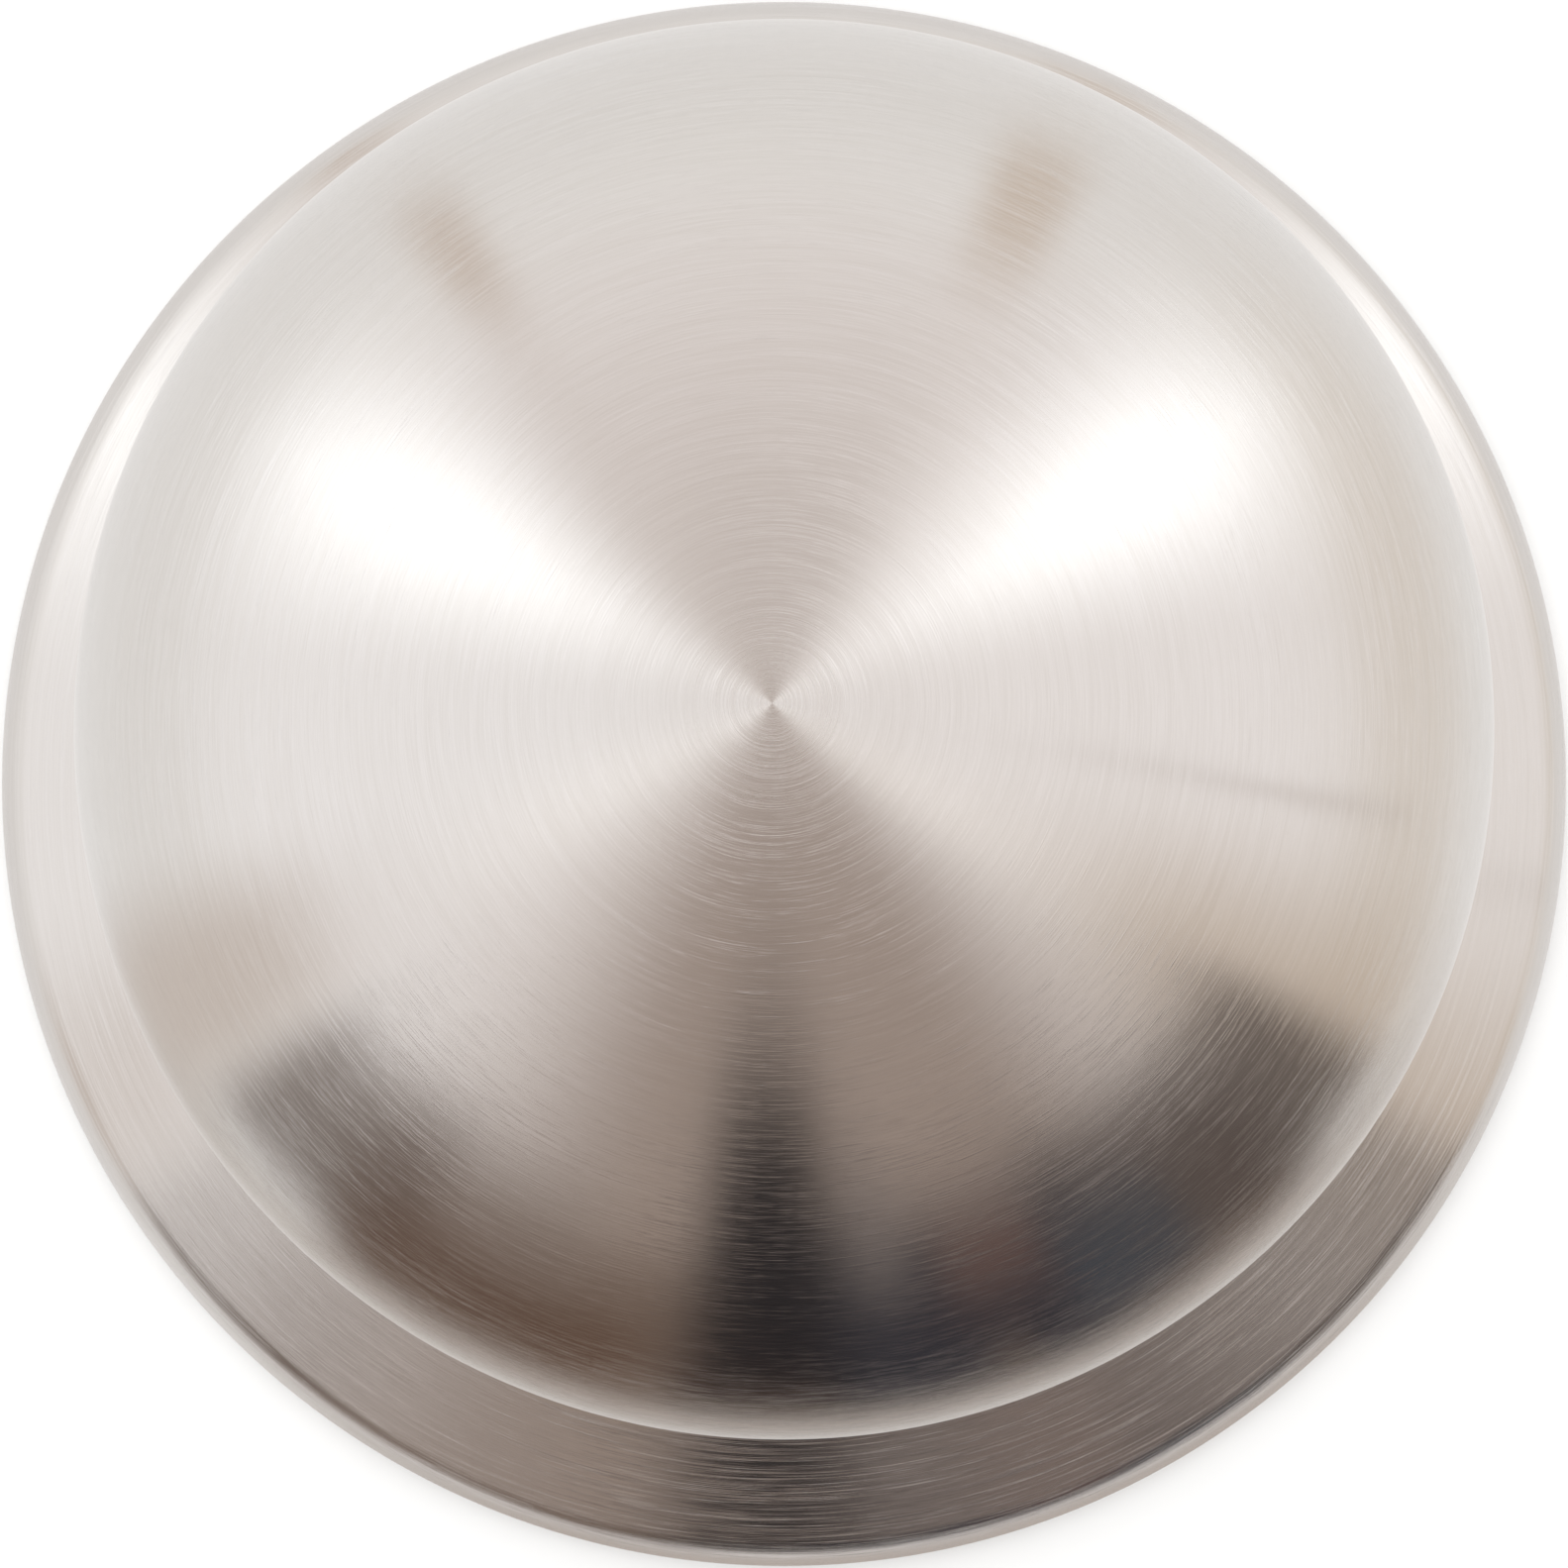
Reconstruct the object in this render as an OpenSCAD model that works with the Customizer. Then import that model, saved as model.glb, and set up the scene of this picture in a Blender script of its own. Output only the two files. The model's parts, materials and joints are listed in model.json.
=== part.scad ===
// Bolt-down steel safety bollard: a concrete-filled core tube on an anchored base plate, dressed with a
// stainless sleeve, a hemispherical cap and a spun base cover that slides up the sleeve.
// Millimetres, +Z up. The origin is on the axis, at ground level.

/* [Post] */
// Height of the cap's top above the ground
post_height = 900; // [600:10:1200]
// Outside diameter of the sleeve and the cap
sleeve_d = 114.3; // [95:0.1:139]
// Wall of the sleeve
sleeve_wall = 2; // [1.5:0.1:3]
// Wall of the cap
dome_wall = 2; // [1.5:0.1:3]
// Visible joint between the cap and the sleeve
cap_joint = 0.3; // [0.1:0.1:1]

/* [Core] */
// Radial gap between the structural core tube and the sleeve
core_gap = 10.7; // [8:0.1:16]
// Wall of the core tube
core_wall = 4; // [2.9:0.1:6.3]
// Leg of the weld at the core tube's foot
weld_leg = 5; // [3:0.5:7]
// Distance from the cap's equator down to the core's lid
core_drop = 45; // [36:1:80]
// Thickness of the lid that closes the core tube
lid_t = 4; // [3:0.5:8]

/* [Base] */
// Thickness of the base plate
plate_t = 10; // [8:0.5:16]
// Distance from an anchor hole's centre to the base plate's edge
plate_margin = 25; // [20:0.5:32]
// Radial play of the anchors in the base plate's holes
anchor_play = 1; // [0.5:0.1:2]
// Thickness of the rubber pad under the base plate
pad_t = 2; // [1:0.5:4]
// Bevel on the base plate's edges
plate_bevel = 1; // [0.5:0.1:2]

/* [Anchors] */
// Number of anchors
anchors = 4; // [3:1:6]
// Nominal diameter of the anchors
anchor_d = 12; // [10:0.1:14.4]
// Depth of the anchors in the ground
anchor_depth = 80; // [65:1:100]
// Gap between the sleeve and an anchor's washer
washer_gap = 5.85; // [3:0.05:12]
// Length of stud that stands out of its nut
stud_rest = 3.7; // [2:0.1:6]
// Bevel on the studs' ends and the nuts' corners
thread_bevel = 1; // [0.5:0.1:1.5]
// How much smaller the radius of a thread is than its anchor's
thread_undersize = 0.2; // [0.1:0.05:0.4]
// Thickness of the washers
washer_t = 2.5; // [2:0.1:4]
// Radial play of the washers on the anchors
washer_play = 0.5; // [0.3:0.1:1]
// Height of the expansion clips
clip_h = 18; // [12:0.5:22]
// Wall of the expansion clips
clip_wall = 1.1; // [0.8:0.1:1.2]
// Width of the slot in an expansion clip
clip_slot = 2; // [1:0.5:4]
// Depth of the waist that a clip sits in
clip_waist = 1.4; // [1:0.1:2]
// Height of the cone that spreads a clip, and of the stud's end below it
cone_tip_h = 5; // [4:0.5:8]

/* [Sleeve fixing] */
// Number of set screws
set_screw_count = 3; // [3:1:6]
// Diameter of the set screws
set_screw_d = 8; // [6:0.1:10]
// Height of the threaded ring in the sleeve's foot
foot_ring_h = 20; // [16:1:26]
// Height of that ring's lower face above the base plate
foot_ring_lift = 12; // [9:0.5:16]
// Depth of the hexagon socket in a set screw
socket_depth = 4; // [2:0.5:6]
// Thickness of the rubber gasket under the sleeve
gasket_t = 2; // [1:0.5:4]

/* [Cap ring] */
// Height of the spigot that goes down into the sleeve
spigot_h = 25; // [15:1:30]
// Height of the shoulder that goes up into the cap
shoulder_h = 8; // [4:0.5:12]
// Wall of the cap ring
cap_ring_wall = 4; // [3:0.5:6]

/* [Centring rings] */
// Height of a plastic centring ring
centring_h = 25; // [15:1:40]
// Thickness of the upper ring's lip on the core's lid
lip_t = 3; // [2:0.5:5]
// Width of that lip over the lid
lip_w = 10; // [5:1:16]
// Width of the slot that lets the middle ring spring on to the core tube
spring_slot = 6; // [3:1:12]

/* [Base cover] */
// Distance from the base plate's edge to the cover's outside
cover_overhang = 25; // [20:0.5:36]
// Wall of the cover
cover_wall = 1.5; // [1:0.1:2.5]
// Slope of the cover's cone
cover_tilt = 27; // [22:0.5:33]
// Outside radius of the cover's rolled edge
cover_edge_r = 8; // [5:0.5:10]
// Radius of the curve from the cone into the collar
cover_neck_r = 10; // [6:0.5:16]
// Straight height of the collar
collar_h = 8; // [6:0.5:14]
// Gap between the cover's foot and the ground
cover_lift = 0.5; // [0.2:0.1:2]
// Room between the anchor studs' tips and the cover
cover_room = 4.6; // [3:0.1:8]
// Gap between the collar and the sleeve, filled by the seal
collar_gap = 1.2; // [0.8:0.1:2]
// Thickness of the seal's bead on top of the collar
seal_bead = 2; // [1:0.5:4]

/* [Fits] */
// Running clearance between the seal and the sleeve
seal_fit = 0.1; // [0.05:0.01:0.1]
// Radial clearance of a pushed-in steel or plastic ring
ring_fit = 0.15; // [0.05:0.05:0.3]
// Radial clearance in a modelled thread
thread_fit = 0.1; // [0.05:0.01:0.15]

/* [Hidden] */
$fn = 96;
// one colour for each finish
STAINLESS = [0.80, 0.78, 0.76];
GALVANISED = [0.62, 0.64, 0.66];
ZINC = [0.74, 0.75, 0.77];
RUBBER = [0.07, 0.07, 0.08];
PLASTIC = [0.13, 0.13, 0.14];
CONCRETE = [0.60, 0.59, 0.56];

// a cut reaches this far past the face that it opens
CUT = 1;

// angles of the first anchor and the first set screw, from +X
FIRST_ANCHOR = 45;
FIRST_SET_SCREW = 90;

// post, from the outside in
sleeve_r = sleeve_d / 2;
sleeve_in_r = sleeve_r - sleeve_wall;
core_r = sleeve_in_r - core_gap;
core_in_r = core_r - core_wall;

// anchors: nut, washer and circle follow the thread
washer_r = anchor_d;
washer_hole_r = anchor_d / 2 + washer_play;
anchor_hole_r = anchor_d / 2 + anchor_play;
nut_af = 1.5 * anchor_d;
nut_h = 0.9 * anchor_d;
thread_r = anchor_d / 2 - thread_undersize;
waist_r = anchor_d / 2 - clip_waist;
waist_z = -anchor_depth + 2 * cone_tip_h;
anchor_r = sleeve_r + washer_gap + washer_r;

// heights, from the ground up
plate_z = pad_t;
plate_top = plate_z + plate_t;
nut_z = plate_top + washer_t;
stud_top = nut_z + nut_h + stud_rest;
sleeve_z = plate_top + gasket_t;
foot_ring_z = plate_top + foot_ring_lift;
set_screw_z = foot_ring_z + foot_ring_h / 2;
dome_z = post_height - sleeve_r;
lid_top = dome_z - core_drop;
core_top = lid_top - lid_t;

// base plate and cover
plate_r = anchor_r + plate_margin;
cover_r = plate_r + cover_overhang;
collar_in_r = sleeve_r + collar_gap;
collar_r = collar_in_r + cover_wall;
cone_normal = [sin(cover_tilt), cos(cover_tilt)];
// The cone's outer face passes over the outermost corner of a stud's tip with the stated room and wall.
// cone_offset is that face's distance from the origin of the section, along the cone's normal.
stud_corner = [anchor_r + thread_r, stud_top];
cone_offset = stud_corner * cone_normal + cover_room + cover_wall;
edge_x = cover_r - cover_edge_r;
edge_z = (cone_offset - cover_edge_r - edge_x * cone_normal[0]) / cone_normal[1];
neck_x = collar_r + cover_neck_r;
neck_z = (cone_offset + cover_neck_r - neck_x * cone_normal[0]) / cone_normal[1];
collar_top = neck_z + collar_h;

// ---- helpers ----

// a tube of outer radius r and inner radius bore, standing at height z
module ring(r, bore, z, h) {
    translate([0, 0, z]) difference() {
        cylinder(r = r, h = h);
        translate([0, 0, -CUT]) cylinder(r = bore, h = h + 2 * CUT);
    }
}

// a disc with the same bevel on both edges
module bevelled_disc(r, h, bevel) {
    rotate_extrude()
        polygon([[0, 0], [r - bevel, 0], [r, bevel], [r, h - bevel], [r - bevel, h], [0, h]]);
}

module at_anchors() {
    for (i = [0 : anchors - 1])
        rotate(FIRST_ANCHOR + i * 360 / anchors) translate([anchor_r, 0, 0]) children();
}

// children lie along +X, one set for each set screw
module at_set_screws() {
    for (i = [0 : set_screw_count - 1])
        rotate(FIRST_SET_SCREW + i * 360 / set_screw_count)
            translate([0, 0, set_screw_z]) rotate([0, 90, 0]) children();
}

// the cover's section, filled in to the axis, with its surface moved inwards by inset;
// the inset one is a cutter, so it reaches past the cover's foot and the collar's top
module cover_section(inset) {
    reach = inset > 0 ? CUT : 0;
    top = collar_top + reach;
    edge = [edge_x, edge_z];
    neck = [neck_x, neck_z];
    cone_foot = edge + (cover_edge_r - inset) * cone_normal;
    cone_head = neck - (cover_neck_r + inset) * cone_normal;
    intersection() {
        translate([0, cover_lift - reach]) square([cover_r, top]);
        difference() {
            union() {
                polygon([[0, -cover_r], [cover_r - inset, -cover_r], [cover_r - inset, edge_z], edge,
                         cone_foot, cone_head,
                         neck, [collar_r - inset, neck_z], [collar_r - inset, top], [0, top]]);
                translate(edge) circle(r = cover_edge_r - inset);
            }
            translate(neck) circle(r = cover_neck_r + inset);
        }
    }
}

// ---- ground and base ----

module base_pad() color(RUBBER) difference() {
    cylinder(r = plate_r, h = pad_t);
    at_anchors() translate([0, 0, -CUT]) cylinder(r = anchor_hole_r, h = pad_t + 2 * CUT);
}

module base_plate() color(GALVANISED) difference() {
    translate([0, 0, plate_z]) bevelled_disc(plate_r, plate_t, plate_bevel);
    at_anchors() translate([0, 0, plate_z - CUT]) cylinder(r = anchor_hole_r, h = plate_t + 2 * CUT);
}

module anchor_studs() color(ZINC) at_anchors() {
    shank_r = anchor_d / 2;
    tip_r = shank_r - thread_bevel / 2;
    rotate_extrude() polygon([
        [0, -anchor_depth], [tip_r - thread_bevel, -anchor_depth], [tip_r, thread_bevel - anchor_depth],
        [tip_r, cone_tip_h - anchor_depth], [waist_r, waist_z], [waist_r, waist_z + clip_h],
        [shank_r, waist_z + clip_h + thread_bevel], [shank_r, 0], [thread_r, thread_undersize],
        [thread_r, stud_top - thread_bevel], [thread_r - thread_bevel, stud_top], [0, stud_top]]);
}

module anchor_clips() color(STAINLESS) at_anchors() {
    bore = waist_r + thread_fit;
    difference() {
        ring(bore + clip_wall, bore, waist_z, clip_h);
        translate([0, -clip_slot / 2, waist_z - CUT]) cube([anchor_d, clip_slot, clip_h + 2 * CUT]);
    }
}

module anchor_washers() color(ZINC) at_anchors() ring(washer_r, washer_hole_r, plate_top, washer_t);

module anchor_nuts() color(ZINC) at_anchors() {
    corner_r = nut_af / 2 / cos(30);
    outer_r = corner_r + thread_bevel;
    translate([0, 0, nut_z]) difference() {
        intersection() {
            cylinder(r = corner_r, h = nut_h, $fn = 6);
            rotate_extrude() polygon([[0, 0], [nut_af / 2, 0], [outer_r, thread_bevel],
                                      [outer_r, nut_h - thread_bevel], [nut_af / 2, nut_h], [0, nut_h]]);
        }
        translate([0, 0, -CUT]) cylinder(r = thread_r + thread_fit, h = nut_h + 2 * CUT);
    }
}

// ---- core ----

module core_tube() color(GALVANISED) {
    ring(core_r, core_in_r, plate_top, core_top - plate_top);
    rotate_extrude() polygon([[core_r - core_wall / 2, plate_top], [core_r + weld_leg, plate_top],
                              [core_r, plate_top + weld_leg], [core_r - core_wall / 2, plate_top + weld_leg]]);
}

module concrete_fill() color(CONCRETE) translate([0, 0, plate_top])
    cylinder(r = core_in_r, h = core_top - plate_top);

module core_lid() color(GALVANISED) translate([0, 0, core_top]) bevelled_disc(core_r, lid_t, lid_t / 4);

module middle_centring_ring() color(PLASTIC) difference() {
    z = (foot_ring_z + lid_top - centring_h) / 2;
    ring(sleeve_in_r - ring_fit, core_r + ring_fit / 2, z, centring_h);
    translate([core_r - CUT, -spring_slot / 2, z - CUT]) cube([sleeve_r, spring_slot, centring_h + 2 * CUT]);
}

module upper_centring_ring() color(PLASTIC) {
    ring(sleeve_in_r - ring_fit, core_r + ring_fit, lid_top - centring_h, centring_h);
    ring(sleeve_in_r - ring_fit, core_r - lip_w, lid_top, lip_t);
}

// ---- sleeve and cap ----

module sleeve_gasket() color(RUBBER) ring(sleeve_r, sleeve_in_r - sleeve_wall, plate_top, gasket_t);

module post_sleeve() color(STAINLESS) difference() {
    ring(sleeve_r, sleeve_in_r, sleeve_z, dome_z - cap_joint - sleeve_z);
    at_set_screws() translate([0, 0, core_r]) cylinder(r = set_screw_d / 2 + ring_fit, h = sleeve_r);
}

module sleeve_foot_ring() color(GALVANISED) difference() {
    ring(sleeve_in_r, core_r + ring_fit, foot_ring_z, foot_ring_h);
    at_set_screws() cylinder(d = set_screw_d, h = sleeve_r);
}

// headless screws with a socket, flush with the sleeve
module set_screws() color(ZINC) at_set_screws() {
    socket_af = set_screw_d / 2;
    length = sleeve_r - core_r - 2 * thread_fit;
    translate([0, 0, core_r + thread_fit]) difference() {
        cylinder(r = set_screw_d / 2 - thread_fit, h = length);
        translate([0, 0, length - socket_depth])
            cylinder(r = socket_af / 2 / cos(30), h = socket_depth + CUT, $fn = 6);
    }
}

module cap_ring() color(STAINLESS) difference() {
    union() {
        translate([0, 0, dome_z - spigot_h]) cylinder(r = sleeve_in_r - ring_fit, h = spigot_h);
        intersection() {
            translate([0, 0, dome_z]) sphere(r = sleeve_r - dome_wall - ring_fit);
            translate([0, 0, dome_z]) cylinder(r = sleeve_r, h = shoulder_h);
        }
    }
    translate([0, 0, dome_z - spigot_h - CUT])
        cylinder(r = sleeve_in_r - ring_fit - cap_ring_wall, h = spigot_h + shoulder_h + 2 * CUT);
}

module dome_cap() color(STAINLESS) translate([0, 0, dome_z]) intersection() {
    difference() {
        sphere(r = sleeve_r);
        sphere(r = sleeve_r - dome_wall);
    }
    cylinder(r = sleeve_d, h = sleeve_d);
}

// ---- base cover ----

module base_cover() color(STAINLESS) difference() {
    rotate_extrude() cover_section(0);
    rotate_extrude() cover_section(cover_wall);
}

module cover_seal() color(RUBBER) {
    bore = sleeve_r + seal_fit;
    ring(collar_in_r, bore, collar_top - collar_h, collar_h);
    ring(collar_r, bore, collar_top, seal_bead);
}

base_pad();
base_plate();
core_tube();
concrete_fill();
core_lid();
middle_centring_ring();
upper_centring_ring();
sleeve_gasket();
post_sleeve();
sleeve_foot_ring();
set_screws();
cap_ring();
dome_cap();
base_cover();
cover_seal();
anchor_studs();
anchor_clips();
anchor_washers();
anchor_nuts();
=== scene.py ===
# %% [markdown]
# # A bolt-down stainless safety bollard
#
# The object is a post that keeps vehicles off a pavement. What shows is stainless steel dress: a sleeve,
# a domed cap and a spun cover over the base plate. What does the work is hidden: a concrete-filled steel
# tube, welded to a plate that four wedge anchors hold down. The lesson starts from a CAD model of all the
# pieces and gives each one the surface that a camera expects of it.
#
# Each piece can be made in one of three ways. The CAD mesh can stay and get a material, which suits plain
# turned and sawn shapes. It can be rebuilt as a finer surface, which suits a shape that highlights run
# over, and one whose small detail the CAD leaves out, such as a thread. Or it can be sculpted by hand,
# which no piece here needs. Almost everything is round, so one lathe function makes most of the new
# surfaces.

# %% Load the CAD frame
import json
import math

import bmesh
import bpy
import numpy as np
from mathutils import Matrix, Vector


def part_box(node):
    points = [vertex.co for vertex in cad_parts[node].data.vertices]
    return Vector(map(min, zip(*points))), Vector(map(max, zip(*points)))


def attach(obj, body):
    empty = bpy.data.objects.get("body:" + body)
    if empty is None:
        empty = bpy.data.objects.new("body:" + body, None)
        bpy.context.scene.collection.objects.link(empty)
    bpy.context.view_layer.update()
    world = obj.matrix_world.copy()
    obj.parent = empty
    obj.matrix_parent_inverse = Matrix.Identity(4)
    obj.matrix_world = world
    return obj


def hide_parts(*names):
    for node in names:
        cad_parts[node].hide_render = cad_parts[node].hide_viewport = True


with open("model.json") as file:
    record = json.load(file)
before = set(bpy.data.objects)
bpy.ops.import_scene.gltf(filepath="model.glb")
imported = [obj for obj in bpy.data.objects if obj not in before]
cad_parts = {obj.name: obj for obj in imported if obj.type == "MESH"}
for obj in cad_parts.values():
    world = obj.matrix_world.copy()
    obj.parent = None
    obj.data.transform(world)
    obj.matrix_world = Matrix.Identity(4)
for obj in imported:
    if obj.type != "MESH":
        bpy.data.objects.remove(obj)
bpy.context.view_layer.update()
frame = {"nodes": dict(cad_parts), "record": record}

# %% [markdown]
# ## Sizes
#
# A new piece has to lie exactly where its CAD piece lies. The places are read from the boxes of the CAD
# nodes, so they follow the CAD when it changes. What a box can't tell, such as the wall of the cover or
# the slope of its cone, is a named value in millimetres, the same as in the CAD.

# %% Sizes from the frame, and the section sizes
MM = 0.001
post_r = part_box("dome_cap")[1].x
cap_foot, cap_top = (corner.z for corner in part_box("dome_cap"))
cover_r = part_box("base_cover")[1].x
cover_foot, collar_top = (corner.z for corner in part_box("base_cover"))
collar_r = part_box("cover_seal")[1].x
seal_foot, seal_top = (corner.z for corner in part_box("cover_seal"))
core_foot, core_top = (corner.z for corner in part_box("core_tube"))
nut_foot, nut_top = (corner.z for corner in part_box("anchor_nuts"))
washer_foot, washer_top = (corner.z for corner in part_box("anchor_washers"))
stud_foot, stud_top = (corner.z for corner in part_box("anchor_studs"))
mounts = {mount["name"]: mount for mount in frame["record"]["mounts"]}
anchor_dims = mounts["ground_anchors"]["dims"]
anchor_count = int(anchor_dims["count"])
anchor_circle_r = anchor_dims["pcd_mm"] * MM / 2
shank_r = anchor_dims["stud_r_mm"] * MM
ANCHOR_TURN = math.radians(45)
print("post radius %.2f mm, cover radius %.1f mm" % (post_r / MM, cover_r / MM))

# %% [markdown]
# ## A surface from a grid of points
#
# A mesh can be grown with modelling tools, or worked out as an array of points. The array suits this
# object, because every surface has a formula, and because the same array also gives the coordinates that
# the brushing follows. `grid_mesh` joins neighbouring points with faces. Where a grid closes on itself,
# at a seam or a pole, the points coincide and are merged, which leaves a watertight shell. A shell's
# signed volume tells whether its faces point outwards.

# %% Grid to mesh
WELD = 1e-6
SHARP_FROM = math.radians(40)


def grid_mesh(name, grid, brush=None):
    """Mesh over an (m, n, 3) array of points, with one face between each four neighbours.

    The UV map "around" holds j / (n - 1) and i / (m - 1) at point (i, j). brush is an (m, n, 3) array that
    is kept as a vector attribute of the points.
    """
    rows, columns = grid.shape[:2]
    index = np.arange(rows * columns).reshape(rows, columns)
    corners = (index[:-1, :-1], index[1:, :-1], index[1:, 1:], index[:-1, 1:])
    faces = np.stack(corners, axis=-1).reshape(-1, 4)
    mesh = bpy.data.meshes.new(name)
    mesh.from_pydata(grid.reshape(-1, 3), [], faces)
    across, down = np.meshgrid(np.linspace(0, 1, columns), np.linspace(0, 1, rows))
    uv = np.stack([across, down], axis=-1).reshape(-1, 2)
    mesh.uv_layers.new(name="around").data.foreach_set("uv", uv[faces.ravel()].ravel())
    if brush is not None:
        kept = mesh.attributes.new("brush", "FLOAT_VECTOR", "POINT")
        kept.data.foreach_set("vector", brush.reshape(-1, 3).ravel())
    weld_and_face_out(mesh)
    return mesh


def weld_and_face_out(mesh):
    """Merges the points that coincide and turns the faces outwards, then shades the mesh smooth."""
    shape = bmesh.new()
    shape.from_mesh(mesh)
    bmesh.ops.remove_doubles(shape, verts=shape.verts, dist=WELD)
    if shape.calc_volume(signed=True) < 0:
        bmesh.ops.reverse_faces(shape, faces=shape.faces)
    open_edges = sum(edge.is_boundary for edge in shape.edges)
    shape.to_mesh(mesh)
    shape.free()
    mesh.shade_smooth()
    mesh.set_sharp_from_angle(angle=SHARP_FROM)
    print("%-20s %6d faces, %d open edges" % (mesh.name, len(mesh.polygons), open_edges))


def add_piece(mesh, body, slot, *nodes):
    """Links a mesh as a piece that rides on a CAD body and hides the CAD nodes that it stands for. slot is
    not used.
    """
    piece = bpy.data.objects.new(mesh.name, mesh)
    bpy.context.scene.collection.objects.link(piece)
    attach(piece, body)
    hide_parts(*nodes)
    return piece


# %% [markdown]
# ## The lathe
#
# A profile is a list of (radius, height) pairs. Round stretches are arcs, so the profile needs only the
# centres and angles of a drawing. Smooth shading averages the faces on both sides of a point, and a long
# straight face beside a short curved one would look bent over its whole length. `straight` therefore puts
# a second point close to each of its ends, which keeps the averaging to a band too narrow to see.

# %% Profiles and lathe
SUPPORT = 0.25 * MM
AROUND = 256
SMALL_ARC = 4
END_ARC = 8
LARGE_ARC = 16


def arc(centre, radius, start, stop, steps):
    """Points (cx + r cos a, cz + r sin a), with a running from start to stop in degrees."""
    angle = np.radians(np.linspace(start, stop, steps + 1))
    return np.array(centre) + radius * np.stack([np.cos(angle), np.sin(angle)], axis=-1)


def straight(start, stop):
    """The two points that lie one support length inside the ends of a straight stretch."""
    start, stop = np.array(start), np.array(stop)
    step = (stop - start) / np.linalg.norm(stop - start) * SUPPORT
    return np.array([start + step, stop - step])


def joined(*stretches):
    """One closed profile from arcs and straight stretches, with its first point repeated at its end."""
    profile = np.concatenate([np.atleast_2d(stretch) for stretch in stretches])
    return np.concatenate([profile, profile[:1]])


def lathe(profile, steps=AROUND):
    """Grid of points (r cos a, r sin a, z) for each (r, z) of the profile, with a going once round."""
    angle = np.linspace(0, 2 * np.pi, steps + 1)
    r, z = profile[:, :1], profile[:, 1:]
    return np.stack([r * np.cos(angle), r * np.sin(angle), z + 0 * angle], axis=-1)


# %% [markdown]
# ## The domed cap
#
# The cap is a hemisphere pressed from sheet and polished on a spindle with an abrasive pad, which leaves
# fine circular scratches. The circles close in on the point where the spindle stood, a little off the
# middle of the dome, and the highlights of the finished cap meet there too. A UV sphere has its pole in
# the middle, so the grid below moves its pole to that point and lets the shift fade out towards the rim,
# which stays true. The points keep where they lie on their circle and how far down the dome they are, for
# the brushing.

# %% Cap shell
CAP_WALL = 2 * MM
RIM_ROUND = 0.3 * MM
SPINDLE_OFFSET = np.array([-1.0 * MM, 1.3 * MM])
CAP_ROWS = 80
POLE_CROWDING = 1.4


def dome_rows(radius, rows):
    """Hemisphere grid, pole first: polar angle t and azimuth a give R (sin t cos a, sin t sin a, cos t).

    The spindle offset times cos^2 t is added before each point is pushed back to radius R.
    """
    tilt = np.radians(90) * np.linspace(0, 1, rows + 1)[:, None] ** POLE_CROWDING
    turn = np.linspace(0, 2 * np.pi, AROUND + 1)
    shift = SPINDLE_OFFSET[:, None, None] / post_r * np.cos(tilt) ** 2
    x = np.sin(tilt) * np.cos(turn) + shift[0]
    y = np.sin(tilt) * np.sin(turn) + shift[1]
    direction = np.stack([x, y, np.cos(tilt) + 0 * turn], axis=-1)
    direction /= np.linalg.norm(direction, axis=-1, keepdims=True)
    return radius * direction


def cap_grid():
    """Outer skin from pole to rim, the rounded rim, and the inner skin back to its pole."""
    outer = dome_rows(post_r, CAP_ROWS)
    inner = dome_rows(post_r - CAP_WALL, CAP_ROWS // 2)[::-1]
    rim = np.concatenate([
        arc((post_r - RIM_ROUND, RIM_ROUND), RIM_ROUND, 0, -90, SMALL_ARC),
        arc((post_r - CAP_WALL + RIM_ROUND, RIM_ROUND), RIM_ROUND, -90, -180, SMALL_ARC),
    ])
    grid = np.concatenate([outer[:-1], lathe(rim), inner[1:]])
    return grid + np.array([0, 0, cap_foot])


def brush_of(grid):
    """(x, y, mean length down the columns) of a lathe-like grid, all in metres."""
    steps = np.linalg.norm(np.diff(grid, axis=0), axis=-1).mean(axis=1)
    run = np.concatenate([[0], np.cumsum(steps)])
    return np.stack(np.broadcast_arrays(grid[:, :, 0], grid[:, :, 1], run[:, None]), axis=-1)


cap_points = cap_grid()
cap_mesh = grid_mesh("cap_shell", cap_points, brush_of(cap_points))
cap_shell = add_piece(cap_mesh, "post", "stainless_brushed", "dome_cap")

# %% [markdown]
# ## The spun base cover
#
# The cover is a disc of sheet that was spun over a form: a rolled edge near the ground, a cone, and a
# neck that turns up into a collar round the sleeve. Its section is drawn here as the CAD draws it, two
# arcs joined by their common tangent, once for the outside and once a wall's thickness further in. Both
# ends of the sheet are deburred, so they are half round.

# %% Cover shell
COVER_WALL = 1.5 * MM
COVER_TILT = 27.0
EDGE_R = 8 * MM
NECK_R = 10 * MM
COLLAR_H = 8 * MM
slope = math.radians(COVER_TILT)
cone_normal = np.array([math.sin(slope), math.cos(slope)])
neck = np.array([collar_r + NECK_R, collar_top - COLLAR_H])
cone_offset = neck @ cone_normal - NECK_R
edge_x = cover_r - EDGE_R
edge = np.array([edge_x, (cone_offset - EDGE_R - edge_x * cone_normal[0]) / cone_normal[1]])


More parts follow.
